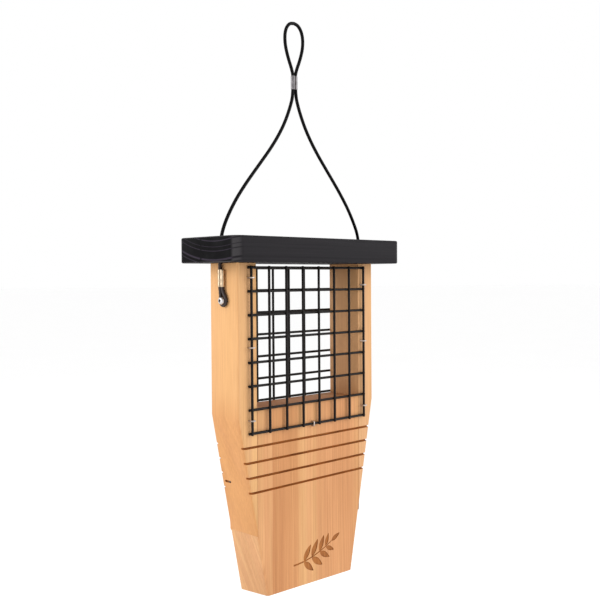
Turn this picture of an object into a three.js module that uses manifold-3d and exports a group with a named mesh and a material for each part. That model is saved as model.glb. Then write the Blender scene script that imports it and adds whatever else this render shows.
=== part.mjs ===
// A hanging suet feeder for clinging birds: two side boards and a sawn tail block
// hold a cake of suet between two wire grids, under a roof that slides up its cable.
//
// Millimetres, +Z up. X runs along the front, and the front faces -Y.
// The origin is the point inside the hanging loop where a hook bears.

import * as THREE from 'three';
import { mergeVertices } from 'three/addons/utils/BufferGeometryUtils.js';
import Module from 'manifold-3d';

const wasm = await Module();
wasm.setup();

// ---------------------------------------------------------------- driving dimensions

const hangDrop = 205.2;        // from the hook's bearing point down to the roof's underside

const body = {
  width: 160.6,
  depth: 35.7,
  height: 276,                 // roof underside to the middle of the tail's bottom
  boardThickness: 19.5,
  straight: 123.7,             // length of the sides above the taper
  sillDrop: 119.3,             // roof underside to the shelf that the suet stands on
  bottomWidth: 100.8,
  bottomRiseLeft: 2.4,         // the hand-sawn bottom is out of square, lowest
  bottomRiseFront: 3.0,        //   at its right back corner
  easedEdge: 1.8,
};

const kerf = { count: 4, firstDrop: 148.6, pitch: 12.4, height: 1.8, depth: 3 };

const roof = { length: 196.2, depth: 75, thickness: 20.6, cornerRadius: 8.7, easedEdge: 1.2 };

const wire = { diameter: 2, pitch: 19.05, cells: 7, topDrop: 3.9, weld: 0.5 };
wire.sideOverhang = 2.4;       // horizontal wires past the outer upright wires
wire.endOverhang = 1.4;        // upright wires past the outer horizontal wires
wire.sideShift = 1.5;          // each grid sits left of the middle, seen from its own side

const staple = { width: 5, wire: 1.0, thickness: 1.2, legInWood: 8 };

const cable = { diameter: 2.9, sides: 8 };
cable.holeX = 82.2;            // the cable's holes in the roof lie just outside the side boards
cable.holeDiameter = 6.2;

const sleeve = { width: 6.7, thickness: 3.7 };
const topSleeve = { bottom: 149.9, length: 11.7 };         // heights above the roof's underside
const sideSleeve = { top: -5.3, length: 14 };

const screw = {
  drop: 30.3,
  forward: 2,                  // towards the front from the middle of the board's side
  shankDiameter: 3.4,
  shankLength: 16,
  pointLength: 4,
  headDiameter: 6.4,
  headThickness: 2.1,
  recessWidth: 3.2,
  recessSlot: 0.9,
  recessDepth: 1.2,
};

const nail = { drop: 180, back: 8.8, length: 32, diameter: 1.6, headDiameter: 2.6, headLength: 1.2 };

const gap = 0.3;               // clearance around driven, threaded and resting pieces
const glueLine = 0.2;
const restGap = 0.1;           // under the roof and the wire grids, which rest on the wood

// ---------------------------------------------------------------- derived values

const roofZ = -hangDrop;       // height of the roof's underside
const halfWidth = body.width / 2;
const halfDepth = body.depth / 2;
const halfOpening = halfWidth - body.boardThickness;
const taper = (halfWidth - body.bottomWidth / 2) / (body.height - body.straight);
const gridWidth = wire.pitch * wire.cells;
const leftWireX = -gridWidth / 2 - wire.sideShift;         // on the front
const rightWireX = gridWidth / 2 - wire.sideShift;
const wireRadius = wire.diameter / 2;
const innerWireY = restGap + wireRadius;                   // out from the wood
const outerWireY = innerWireY + wire.diameter - wire.weld;
const strandX = halfWidth + gap + cable.diameter / 2;      // cable lying along a side board
const sleeveX = halfWidth + gap + sleeve.thickness / 2;
const headX = strandX + cable.diameter / 2 + gap;
const large = 1000;

// ---------------------------------------------------------------- materials

const cedar = new THREE.MeshStandardMaterial({ color: 0xdca06c, roughness: 0.75 });
const blackStain = new THREE.MeshStandardMaterial({ color: 0x2c2b2e, roughness: 0.7 });
const blackCoating = new THREE.MeshStandardMaterial({ color: 0x17161a, roughness: 0.45 });
const zinc = new THREE.MeshStandardMaterial({ color: 0xb9bcc2, roughness: 0.35, metalness: 1 });
const aluminium = new THREE.MeshStandardMaterial({ color: 0xc9cbce, roughness: 0.4, metalness: 1 });
const cableCoating = new THREE.MeshStandardMaterial({ color: 0x121114, roughness: 0.35 });

const group = new THREE.Group();

function addPiece(name, geometry, material) {
  const mesh = new THREE.Mesh(geometry, material);
  mesh.name = name;
  group.add(mesh);
}

// ---------------------------------------------------------------- solids and booleans

function solidOf(geometry) {
  const bare = geometry.clone();
  bare.deleteAttribute('normal');
  bare.deleteAttribute('uv');
  const merged = mergeVertices(bare, 1e-4);
  return new wasm.Manifold(new wasm.Mesh({
    numProp: 3,
    vertProperties: new Float32Array(merged.attributes.position.array),
    triVerts: new Uint32Array(merged.index.array),
  }));
}

function geometryOf(solid) {
  const mesh = solid.getMesh();
  const geometry = new THREE.BufferGeometry();
  geometry.setAttribute('position', new THREE.BufferAttribute(mesh.vertProperties, 3));
  geometry.setIndex(new THREE.BufferAttribute(mesh.triVerts, 1));
  geometry.computeVertexNormals();
  return geometry;
}

function union(solids) {
  return solids.reduce((whole, next) => whole.add(next));
}

function box(low, high) {
  const size = high.map((value, i) => value - low[i]);
  const centre = high.map((value, i) => (value + low[i]) / 2);
  return solidOf(new THREE.BoxGeometry(...size).translate(...centre));
}

// A cylinder or cone along an axis ('x', 'y' or 'z'), about its own middle.
function rod(axis, radius, length, sides, endRadius = radius) {
  const geometry = new THREE.CylinderGeometry(endRadius, radius, length, sides);
  geometry.rotateY(Math.PI / sides);
  if (axis === 'x') geometry.rotateZ(-Math.PI / 2);
  if (axis === 'z') geometry.rotateX(Math.PI / 2);
  return geometry;
}

// An outline drawn in X and Z, extruded across the depth and centred on Y = 0.
function extrudeAcross(shape, depth, bevel) {
  const geometry = new THREE.ExtrudeGeometry(shape, {
    depth: depth - 2 * bevel,
    bevelEnabled: bevel > 0,
    bevelThickness: bevel,
    bevelSize: bevel,
    bevelOffset: -bevel,
    bevelSegments: 3,
    steps: 1,
  });
  geometry.translate(0, 0, bevel - depth / 2);
  return geometry.rotateX(Math.PI / 2);
}

function polygon(points) {
  return new THREE.Shape(points.map(([x, y]) => new THREE.Vector2(x, y)));
}

// ---------------------------------------------------------------- wooden body

// The side boards and tail block are shaped as one, so their faces run on into each other.
function bodyBlank() {
  const sill = roofZ - body.sillDrop;
  const shoulder = roofZ - body.straight;
  const sawn = roofZ - body.height - 10;                   // below the saw cut
  const sawnHalf = halfWidth - taper * (shoulder - sawn);
  const top = roofZ - restGap;
  const outline = polygon([
    [-halfWidth, top], [-halfWidth, shoulder], [-sawnHalf, sawn],
    [sawnHalf, sawn], [halfWidth, shoulder], [halfWidth, top],
    [halfOpening, top], [halfOpening, sill], [-halfOpening, sill], [-halfOpening, top],
  ]);
  return solidOf(extrudeAcross(outline, body.depth, body.easedEdge));
}

// What the saw takes off below the tail, a little out of square both ways.
function bottomCut() {
  const cut = new THREE.BoxGeometry(body.width, body.depth * 2, 40);
  cut.translate(0, 0, -20);
  cut.rotateX(-Math.atan2(body.bottomRiseFront, body.depth));
  cut.rotateY(Math.atan2(body.bottomRiseLeft, body.bottomWidth));
  cut.translate(0, 0, roofZ - body.height);
  return solidOf(cut);
}

// Saw grooves across front and back, for the birds' feet and tails to grip.
function kerfCuts() {
  const cuts = [];
  for (let i = 0; i < kerf.count; i++) {
    const z = roofZ - kerf.firstDrop - i * kerf.pitch;
    for (const side of [-1, 1]) {
      const inner = side * (halfDepth - kerf.depth);
      const outer = side * (halfDepth + 1);
      cuts.push(box(
        [-large, Math.min(inner, outer), z - kerf.height / 2],
        [large, Math.max(inner, outer), z + kerf.height / 2],
      ));
    }
  }
  return union(cuts);
}

// Staples: across the outer upright wires, and one across the bottom wire.
const staplePlaces = [
  { name: 'left_top', x: leftWireX, drop: 12 },
  { name: 'left_middle', x: leftWireX, drop: 68 },
  { name: 'left_bottom', x: leftWireX, drop: 126.5 },
  { name: 'right_top', x: rightWireX, drop: 19 },
  { name: 'right_middle', x: rightWireX, drop: 69.7 },
  { name: 'right_bottom', x: rightWireX, drop: 128.2 },
  { name: 'bottom_centre', x: 1, drop: wire.topDrop + gridWidth, upright: true },
];

// A staple's place on the front face; on the back face it is turned half a turn about Z.
function placeStaple(geometry, place, face) {
  if (place.upright) geometry.rotateY(Math.PI / 2);
  geometry.translate(place.x, -halfDepth, roofZ - place.drop);
  if (face === 'back') geometry.rotateZ(Math.PI);
  return geometry;
}

// Drawn over a wire at the face, with Y pointing into the wood.
function stapleGeometry(crownInside) {
  const half = staple.width / 2;
  const inside = half - staple.wire;
  const outline = polygon([
    [-half, crownInside + staple.wire], [-half, -staple.legInWood], [-inside, -staple.legInWood],
    [-inside, crownInside], [inside, crownInside], [inside, -staple.legInWood],
    [half, -staple.legInWood], [half, crownInside + staple.wire],
  ]);
  const geometry = new THREE.ExtrudeGeometry(outline, {
    depth: staple.thickness, bevelEnabled: false, steps: 1,
  });
  geometry.translate(0, 0, -staple.thickness / 2);
  return geometry.rotateX(Math.PI);
}

function crownInsideAt(place) {
  return (place.upright ? innerWireY : outerWireY) + wireRadius + gap;
}

// The slots that the staple's two legs stand in.
function legPocket(side) {
  const centre = side * (staple.width - staple.wire) / 2;
  const width = staple.wire + 2 * gap;
  const pocket = new THREE.BoxGeometry(width, staple.legInWood + gap + 1, staple.thickness + 2 * gap);
  return pocket.translate(centre, (staple.legInWood + gap - 1) / 2, 0);
}

function staplePockets() {
  const pockets = [];
  for (const face of ['front', 'back']) {
    for (const place of staplePlaces) {
      for (const side of [-1, 1]) pockets.push(solidOf(placeStaple(legPocket(side), place, face)));
    }
  }
  return union(pockets);
}

function screwPockets() {
  const length = screw.shankLength + screw.pointLength + 1;
  const pockets = [-1, 1].map((side) => {
    const hole = rod('x', screw.shankDiameter / 2 + gap, length, 16);
    const centre = side * (halfWidth + 1 - length / 2);
    return solidOf(hole.translate(centre, -screw.forward, roofZ - screw.drop));
  });
  return union(pockets);
}

const nailOuterX = halfWidth - taper * (nail.drop - body.straight) - 0.8;   // head just sunk

function nailPockets() {
  const length = nail.length + gap + 4;
  const centre = nailOuterX + 4 - length / 2;
  const pockets = [-1, 1].map((side) => {
    const hole = rod('x', nail.headDiameter / 2 + gap, length, 12);
    return solidOf(hole.translate(side * centre, nail.back, roofZ - nail.drop));
  });
  return union(pockets);
}

function addWoodenBody() {
  const shaped = bodyBlank()
    .subtract(bottomCut())
    .subtract(kerfCuts())
    .subtract(staplePockets())
    .subtract(screwPockets())
    .subtract(nailPockets());
  const joint = halfOpening + glueLine / 2;
  const left = box([-large, -large, -large], [-joint, large, large]);
  const right = box([joint, -large, -large], [large, large, large]);
  const middle = box(
    [glueLine / 2 - halfOpening, -large, -large],
    [halfOpening - glueLine / 2, large, large],
  );
  addPiece('left_side_board', geometryOf(shaped.intersect(left)), cedar);
  addPiece('right_side_board', geometryOf(shaped.intersect(right)), cedar);
  addPiece('tail_block', geometryOf(shaped.intersect(middle)), cedar);
}

// ---------------------------------------------------------------- roof

function roofOutline() {
  const x = roof.length / 2;
  const y = roof.depth / 2;
  const r = roof.cornerRadius;
  const shape = new THREE.Shape();
  shape.absarc(x - r, y - r, r, 0, Math.PI / 2);
  shape.absarc(r - x, y - r, r, Math.PI / 2, Math.PI);
  shape.absarc(r - x, r - y, r, Math.PI, 1.5 * Math.PI);
  shape.absarc(x - r, r - y, r, 1.5 * Math.PI, 2 * Math.PI);
  return shape;
}

function addRoof() {
  const board = new THREE.ExtrudeGeometry(roofOutline(), {
    depth: roof.thickness - 2 * roof.easedEdge,
    bevelThickness: roof.easedEdge,
    bevelSize: roof.easedEdge,
    bevelOffset: -roof.easedEdge,
    bevelSegments: 2,
    curveSegments: 6,
    steps: 1,
  });
  board.translate(0, 0, roofZ + roof.easedEdge);
  const holes = [-1, 1].map((side) => {
    const hole = rod('z', cable.holeDiameter / 2, roof.thickness + 4, 20);
    return solidOf(hole.translate(side * cable.holeX, 0, roofZ + roof.thickness / 2));
  });
  addPiece('roof_board', geometryOf(solidOf(board).subtract(union(holes))), blackStain);
}

// ---------------------------------------------------------------- wire grids

function gridGeometry() {
  const wires = [];
  const top = roofZ - wire.topDrop;
  for (let i = 0; i <= wire.cells; i++) {
    const across = rod('x', wireRadius, gridWidth + 2 * wire.sideOverhang, 8);
    across.translate(-wire.sideShift, -halfDepth - innerWireY, top - i * wire.pitch);
    const upright = rod('z', wireRadius, gridWidth + 2 * wire.endOverhang, 8);
    upright.translate(leftWireX + i * wire.pitch, -halfDepth - outerWireY, top - gridWidth / 2);
    wires.push(solidOf(across), solidOf(upright));
  }
  return geometryOf(union(wires));
}

function addGrids() {
  addPiece('front_wire_grid', gridGeometry(), blackCoating);
  addPiece('back_wire_grid', gridGeometry().rotateZ(Math.PI), blackCoating);
}

function addStaples() {
  for (const face of ['front', 'back']) {
    for (const place of staplePlaces) {
      const geometry = placeStaple(stapleGeometry(crownInsideAt(place)), place, face);
      addPiece(`${face}_staple_${place.name}`, geometry, zinc);
    }
  }
}

// ---------------------------------------------------------------- screws and nails

// A pan head screw with its point at -X and the underside of its head at X = 0.
function screwGeometry() {
  const shank = screw.shankDiameter / 2;
  const head = screw.headDiameter / 2;
  const neck = headX - halfWidth;                          // stands proud, to hold the cable
  const tip = -neck - screw.shankLength - screw.pointLength;
  const profile = [
    [0, tip], [shank, tip + screw.pointLength], [shank, 0], [head, 0],
    [head, 0.3 * screw.headThickness], [0.85 * head, 0.75 * screw.headThickness],
    [0.5 * head, screw.headThickness], [0, screw.headThickness],
  ].map(([r, y]) => new THREE.Vector2(r, y));
  const turned = new THREE.LatheGeometry(profile, 20).rotateZ(-Math.PI / 2);
  const slots = [[screw.recessWidth, screw.recessSlot], [screw.recessSlot, screw.recessWidth]];
  const recess = union(slots.map(([y, z]) => box(
    [screw.headThickness - screw.recessDepth, -y / 2, -z / 2],
    [screw.headThickness + 1, y / 2, z / 2],
  )));
  return geometryOf(solidOf(turned).subtract(recess));
}

function nailGeometry() {
  const shaft = nail.diameter / 2;
  const profile = [
    [0, -nail.length], [shaft, 2 - nail.length], [shaft, -nail.headLength],
    [nail.headDiameter / 2, 0], [0, 0],
  ].map(([r, y]) => new THREE.Vector2(r, y));
  return new THREE.LatheGeometry(profile, 12).rotateZ(-Math.PI / 2);
}

function addFasteners() {
  for (const [name, turn] of [['right', 0], ['left', Math.PI]]) {
    const side = Math.cos(turn);
    const hangerScrew = screwGeometry().rotateZ(turn);
    hangerScrew.translate(side * headX, -screw.forward, roofZ - screw.drop);
    addPiece(`${name}_cable_screw`, hangerScrew, zinc);
    const brad = nailGeometry().rotateZ(turn);
    brad.translate(side * nailOuterX, nail.back, roofZ - nail.drop);
    addPiece(`${name}_brad_nail`, brad, zinc);
  }
}

// ---------------------------------------------------------------- cable and its sleeves

// Routes, as [x, y, height above the roof's underside], for the right hand half.
const legRoute = [
  [82.45, 1.5, -5], [82.4, 1.4, -1], [82.3, 1.1, 5], [82.2, 0.7, 13], [81.6, 0.3, 21],
  [79.0, 0, 29.5], [75.9, 0, 36], [71.6, 0, 43.5], [65.5, 0, 52.7], [56.5, 0, 64.2],
  [47, 0, 75.2], [37.4, 0, 86], [28.2, 0, 96.6], [20.3, 0, 106.8], [13.4, 0, 117.3],
  [8.4, 0, 126.9], [4.4, 0, 136.4], [2.2, 0, 144], [1.5, 0, 149.6],
];
const topLoopHalf = [
  [1.5, 0, 161.9], [2.3, 0, 165.2], [3.8, 0, 169.2], [6.1, 0, 174.3], [8.4, 0, 180.4],
  [10, 0, 186.2], [10.6, 0, 191.9], [10.1, 0, 197.3], [8.1, 0, 202.2], [4.5, 0, 205.6],
  [0, 0, 206.65],
];
// Down behind the screw's shank, round under it and back up to the sleeve.
const screwLoop = [
  [82.45, 1.5, -19.6], [82.45, 1.5, -20.4], [82.3, 1.3, -23], [82.1, 1.15, -26.8],
  [82.05, 1.42, -30.4], [82.05, 0.35, -33.2], [82.05, -2, -34.1], [82.05, -4.4, -33],
  [82.05, -5.45, -30.4], [82.1, -4.5, -27.2], [82.25, -2.75, -24.2], [82.4, -1.85, -22],
  [82.45, -1.52, -20.6], [82.45, -1.5, -19.6],
];

function mirrored(route) {
  return route.map(([x, y, z]) => [-x, y, z]);
}

// A half route that ends on the middle of the front, carried on down the other side.
function wholeLoop(half) {
  return [...half, ...mirrored(half).reverse().slice(1)];
}

function cableGeometry(route, steps) {
  const section = new THREE.Shape();
  for (let i = 0; i < cable.sides; i++) {
    const angle = ((i + 0.5) * 2 * Math.PI) / cable.sides;
    const x = (cable.diameter / 2) * Math.cos(angle);
    const y = (cable.diameter / 2) * Math.sin(angle);
    if (i === 0) section.moveTo(x, y);
    else section.lineTo(x, y);
  }
  section.closePath();
  const points = route.map(([x, y, z]) => new THREE.Vector3(x, y, roofZ + z));
  const extrudePath = new THREE.CatmullRomCurve3(points);
  return new THREE.ExtrudeGeometry(section, { extrudePath, steps, bevelEnabled: false });
}

function addCable() {
  addPiece('cable_right_leg', cableGeometry(legRoute, 24), cableCoating);
  addPiece('cable_left_leg', cableGeometry(mirrored(legRoute), 24), cableCoating);
  addPiece('cable_hanging_loop', cableGeometry(wholeLoop(topLoopHalf), 24), cableCoating);
  addPiece('cable_right_screw_loop', cableGeometry(screwLoop, 20), cableCoating);
  addPiece('cable_left_screw_loop', cableGeometry(mirrored(screwLoop), 20), cableCoating);
}

// A crimped sleeve around two strands side by side along X, standing on Z = 0.
function sleeveGeometry(length) {
  const r = sleeve.thickness / 2;
  const centre = sleeve.width / 2 - r;
  const waistAngle = Math.acos(Math.min(1, centre / r)) + 0.25;
  const outline = new THREE.Shape();
  outline.absarc(centre, 0, r, waistAngle - Math.PI, Math.PI - waistAngle);
  outline.absarc(-centre, 0, r, waistAngle, 2 * Math.PI - waistAngle);
  return new THREE.ExtrudeGeometry(outline, {
    depth: length - 1,
    bevelThickness: 0.5,
    bevelSize: 0.4,
    bevelOffset: -0.4,
    bevelSegments: 2,
    curveSegments: 10,
    steps: 1,
  }).translate(0, 0, 0.5);
}

function addSleeves() {
  const top = sleeveGeometry(topSleeve.length);
  addPiece('top_cable_sleeve', top.translate(0, 0, roofZ + topSleeve.bottom), aluminium);
  for (const [name, side] of [['right', 1], ['left', -1]]) {
    const geometry = sleeveGeometry(sideSleeve.length).rotateZ(Math.PI / 2);
    const bottom = roofZ + sideSleeve.top - sideSleeve.length;
    addPiece(`${name}_cable_sleeve`, geometry.translate(side * sleeveX, 0, bottom), aluminium);
  }
}

// ---------------------------------------------------------------- the whole feeder

addWoodenBody();
addRoof();
addGrids();
addStaples();
addFasteners();
addCable();
addSleeves();

export default group;
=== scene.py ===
"""A hanging suet feeder: cedar frame, black wire grids, black stained roof and a coated cable.

Metres, +Z up. X runs along the front, which faces -Y. The origin is the point inside the cable's
hanging loop where a hook bears.
"""

import math

import bmesh
import bpy
from mathutils import Matrix, Vector


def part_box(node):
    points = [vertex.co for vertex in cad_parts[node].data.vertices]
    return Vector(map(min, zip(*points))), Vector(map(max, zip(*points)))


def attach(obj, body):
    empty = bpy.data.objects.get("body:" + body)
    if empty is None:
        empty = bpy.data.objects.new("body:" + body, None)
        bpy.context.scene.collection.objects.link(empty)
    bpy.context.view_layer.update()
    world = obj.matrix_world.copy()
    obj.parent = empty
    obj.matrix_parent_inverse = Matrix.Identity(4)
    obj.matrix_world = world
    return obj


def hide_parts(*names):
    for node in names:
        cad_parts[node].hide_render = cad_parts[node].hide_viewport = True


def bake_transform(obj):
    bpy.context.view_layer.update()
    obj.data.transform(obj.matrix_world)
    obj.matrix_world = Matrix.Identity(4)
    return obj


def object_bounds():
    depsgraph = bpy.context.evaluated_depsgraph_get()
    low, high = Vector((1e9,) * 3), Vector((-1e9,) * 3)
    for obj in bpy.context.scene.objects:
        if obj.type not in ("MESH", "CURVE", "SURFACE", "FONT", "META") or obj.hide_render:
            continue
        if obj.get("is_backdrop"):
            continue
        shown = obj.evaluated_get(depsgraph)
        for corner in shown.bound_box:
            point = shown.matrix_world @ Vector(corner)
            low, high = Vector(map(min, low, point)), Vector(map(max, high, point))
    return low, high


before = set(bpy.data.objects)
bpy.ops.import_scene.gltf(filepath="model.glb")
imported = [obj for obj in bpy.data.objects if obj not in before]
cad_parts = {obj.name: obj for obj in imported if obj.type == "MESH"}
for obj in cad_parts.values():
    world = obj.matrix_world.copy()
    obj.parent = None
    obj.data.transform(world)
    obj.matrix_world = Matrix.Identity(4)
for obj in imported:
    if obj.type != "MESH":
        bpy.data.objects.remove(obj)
cad_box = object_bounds()

MM = 0.001

# ---------------------------------------------------------------- sizes

ROOF_LOW, ROOF_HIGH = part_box("roof_board")
BOARD_LOW, BOARD_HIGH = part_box("right_side_board")
TAIL_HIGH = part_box("tail_block")[1]
GRID_LOW, GRID_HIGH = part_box("front_wire_grid")

ROOF_Z = ROOF_LOW.z                  # the roof's underside, which heights below count from
BODY_TOP = BOARD_HIGH.z
HALF_WIDTH = BOARD_HIGH.x
HALF_DEPTH = BOARD_HIGH.y
BOARD_INNER_X = BOARD_LOW.x
TAIL_HALF = TAIL_HIGH.x
SILL_Z = TAIL_HIGH.z

SHOULDER_Z = ROOF_Z - 123.7 * MM     # where the taper starts
BOTTOM_Z = ROOF_Z - 276 * MM         # the middle of the tail's sawn end
BOTTOM_HALF = 50.4 * MM
TAPER = (HALF_WIDTH - BOTTOM_HALF) / (SHOULDER_Z - BOTTOM_Z)
BOTTOM_RISE_LEFT = 2.4 * MM          # the sawn end is out of square both ways
BOTTOM_RISE_FRONT = 3.0 * MM
ROUNDED_EDGE = 2.4 * MM
CRISP_EDGE = 0.35 * MM
PAST_BODY = 100 * MM                 # further out than any board reaches

KERF_COUNT = 4
KERF_FIRST_Z = ROOF_Z - 148.6 * MM
KERF_PITCH = 12.4 * MM
KERF_HALF_HEIGHT = 0.9 * MM
KERF_DEPTH = 3 * MM
KERF_FLARE = 0.45 * MM               # how much wider it is at the face, on each side
KERF_FLARE_DEPTH = 0.35 * MM
KERF_SOFT_FLOOR = 0.3 * MM

ROOF_CORNER = 8.7 * MM
ROOF_EDGE = 1.1 * MM
CABLE_HOLE_RADIUS = 3.1 * MM

WIRE_RADIUS = 1.08 * MM              # with its coating
BARE_WIRE_RADIUS = 1 * MM
WIRE_PITCH = 19.05 * MM
WIRE_CELLS = 7
WIRE_SIDE_OVERHANG = 2.4 * MM
WIRE_END_OVERHANG = 1.4 * MM
GRID_TOP_Z = ROOF_Z - 3.9 * MM
GRID_HALF = WIRE_PITCH * WIRE_CELLS / 2
GRID_MIDDLE_X = (GRID_LOW.x + GRID_HIGH.x) / 2
INNER_WIRE_Y = GRID_HIGH.y - BARE_WIRE_RADIUS
OUTER_WIRE_Y = GRID_LOW.y + BARE_WIRE_RADIUS

CABLE_RADIUS = 1.45 * MM
CABLE_HOLE_X = 82.2 * MM

# Cable routes on the right hand side: x, y and height above the roof's underside.
LEG_ROUTE = [
    (0.08245, 0.0015, -0.005), (0.0824, 0.0014, -0.001), (0.0823, 0.0011, 0.005),
    (0.0822, 0.0007, 0.013), (0.0816, 0.0003, 0.021), (0.079, 0, 0.0295), (0.0759, 0, 0.036),
    (0.0716, 0, 0.0435), (0.0655, 0, 0.0527), (0.0565, 0, 0.0642), (0.047, 0, 0.0752),
    (0.0374, 0, 0.086), (0.0282, 0, 0.0966), (0.0203, 0, 0.1068), (0.0134, 0, 0.1173),
    (0.0084, 0, 0.1269), (0.0044, 0, 0.1364), (0.0022, 0, 0.144), (0.0015, 0, 0.1496),
]
TOP_LOOP_HALF = [
    (0.0015, 0, 0.1619), (0.0023, 0, 0.1652), (0.0038, 0, 0.1692), (0.0061, 0, 0.1743),
    (0.0084, 0, 0.1804), (0.01, 0, 0.1862), (0.0106, 0, 0.1919), (0.0101, 0, 0.1973),
    (0.0081, 0, 0.2022), (0.0045, 0, 0.2056), (0, 0, 0.20665),
]
SCREW_LOOP = [
    (0.08245, 0.0015, -0.0196), (0.08245, 0.0015, -0.0204), (0.0823, 0.0013, -0.023),
    (0.0821, 0.00115, -0.0268), (0.08205, 0.00142, -0.0304), (0.08205, 0.00035, -0.0332),
    (0.08205, -0.002, -0.0341), (0.08205, -0.0044, -0.033), (0.08205, -0.00545, -0.0304),
    (0.0821, -0.0045, -0.0272), (0.08225, -0.00275, -0.0242), (0.0824, -0.00185, -0.022),
    (0.08245, -0.00152, -0.0206), (0.08245, -0.0015, -0.0196),
]
HOLE_MIDDLE = 0.010                  # height in the roof's holes where the cable's pieces meet

CAMERA_PLACE = Vector((-0.5142, -0.5377, ROOF_Z - 0.0126))
CAMERA_YAW = math.radians(44.01)     # from +Y towards +X
CAMERA_PITCH = math.radians(1.47)    # downwards
CAMERA_ROLL = math.radians(-0.39)
CAMERA_LENS = 51.4                   # on a 36 mm wide sensor

# ---------------------------------------------------------------- camera


def add_camera():
    ahead = Vector((
        math.sin(CAMERA_YAW) * math.cos(CAMERA_PITCH),
        math.cos(CAMERA_YAW) * math.cos(CAMERA_PITCH),
        -math.sin(CAMERA_PITCH),
    ))
    level = Vector((math.cos(CAMERA_YAW), -math.sin(CAMERA_YAW), 0))
    upright = level.cross(ahead)
    right = level * math.cos(CAMERA_ROLL) + upright * math.sin(CAMERA_ROLL)
    up = upright * math.cos(CAMERA_ROLL) - level * math.sin(CAMERA_ROLL)
    turn = Matrix((right, up, -ahead)).transposed().to_4x4()
    camera = bpy.data.objects.new("camera", bpy.data.cameras.new("camera"))
    camera.data.lens = CAMERA_LENS
    camera.data.clip_start = 0.02
    camera.matrix_world = Matrix.Translation(CAMERA_PLACE) @ turn
    bpy.context.scene.collection.objects.link(camera)
    bpy.context.scene.camera = camera


# ---------------------------------------------------------------- mesh helpers


def from_bmesh(name, bm, materials=()):
    mesh = bpy.data.meshes.new(name)
    bmesh.ops.recalc_face_normals(bm, faces=bm.faces)
    bm.to_mesh(mesh)
    bm.free()
    piece = bpy.data.objects.new(name, mesh)
    bpy.context.scene.collection.objects.link(piece)
    for material in materials:
        mesh.materials.append(material)
    return piece


def stand_in(piece, body, node):
    """Moves a piece with its body, in place of a CAD node."""
    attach(piece, body)
    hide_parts(node)


def smooth(piece, angle=35):
    """Shades a piece smooth, with a crease where faces meet at more than that angle."""
    mesh = piece.data
    mesh.shade_smooth()
    mesh.set_sharp_from_angle(angle=math.radians(angle))


def settle(piece):
    """Applies a piece's modifiers."""
    graph = bpy.context.evaluated_depsgraph_get()
    mesh = bpy.data.meshes.new_from_object(piece.evaluated_get(graph))
    old = piece.data
    piece.modifiers.clear()
    piece.data = mesh
    mesh.name = piece.name
    bpy.data.meshes.remove(old)


def combine(piece, other, operation="DIFFERENCE"):
    """Cuts the other mesh out of the piece, or joins it on, and removes the other."""
    boolean = piece.modifiers.new("boolean", "BOOLEAN")
    boolean.operation = operation
    boolean.solver = "MANIFOLD"
    boolean.object = other
    settle(piece)
    old = other.data
    bpy.data.objects.remove(other)
    bpy.data.meshes.remove(old)


def prism(name, outline, low, high, axis, material_index=0, materials=()):
    """A closed outline carried straight from low to high along an axis, 0, 1 or 2 for X, Y or Z."""
    bm = bmesh.new()
    rings = []
    for level in (low, high):
        ring = []
        for a, b in outline:
            point = [a, b]
            point.insert(axis, level)
            ring.append(bm.verts.new(point))
        rings.append(ring)
    count = len(outline)
    bm.faces.new(rings[0])
    bm.faces.new(rings[1][::-1])
    for i in range(count):
        j = (i + 1) % count
        bm.faces.new((rings[0][i], rings[1][i], rings[1][j], rings[0][j]))
    for face in bm.faces:
        face.material_index = material_index
    return from_bmesh(name, bm, materials)


def circle(radius, count, centre=(0, 0), start=0.0):
    angles = [start + 2 * math.pi * i / count for i in range(count)]
    return [(centre[0] + radius * math.cos(a), centre[1] + radius * math.sin(a)) for a in angles]


def rounded_rectangle(wide, high, radius, steps=3):
    points = []
    for quarter, (sx, sy) in enumerate(((1, 1), (-1, 1), (-1, -1), (1, -1))):
        for i in range(steps + 1):
            angle = (quarter + i / steps) * math.pi / 2
            points.append((
                sx * (wide / 2 - radius) + radius * math.cos(angle),
                sy * (high / 2 - radius) + radius * math.sin(angle),
            ))
    return points


def bevel_by_weight(piece, radius_of, segments=4):
    """Rounds each edge by radius_of(its middle, its direction)."""
    mesh = piece.data
    radii = []
    for edge in mesh.edges:
        a, b = (mesh.vertices[i].co for i in edge.vertices)
        radii.append(radius_of((a + b) / 2, (b - a).normalized()))
    widest = max(radii)
    weights = mesh.attributes.new("bevel_weight_edge", "FLOAT", "EDGE")
    weights.data.foreach_set("value", [r / widest for r in radii])
    bevel = piece.modifiers.new("bevel", "BEVEL")
    bevel.limit_method = "WEIGHT"
    bevel.width = widest
    bevel.segments = segments
    bevel.use_clamp_overlap = True
    settle(piece)


def sweep(name, path, section_at, materials=(), start_side=Vector((0, 1, 0)), second=()):
    """A closed solid along a path of points. section_at(i) gives ring i's outline as (a, b) pairs,
    a along a side direction that turns as little as it can, and b square to it. The faces that
    start at the outline points listed in second get the second material."""
    bm = bmesh.new()
    rings = []
    side = start_side
    last = len(path) - 1
    for i, point in enumerate(path):
        along = (path[min(i + 1, last)] - path[max(i - 1, 0)]).normalized()
        side = (side - along * side.dot(along)).normalized()
        other = along.cross(side)
        ring = [bm.verts.new(point + side * a + other * b) for a, b in section_at(i)]
        rings.append(ring)
    count = len(rings[0])
    for low, high in zip(rings, rings[1:]):
        for i in range(count):
            j = (i + 1) % count
            face = bm.faces.new((low[i], low[j], high[j], high[i]))
            face.material_index = 1 if i in second else 0
    bm.faces.new(rings[0][::-1])
    bm.faces.new(rings[-1])
    return from_bmesh(name, bm, materials)


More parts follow.
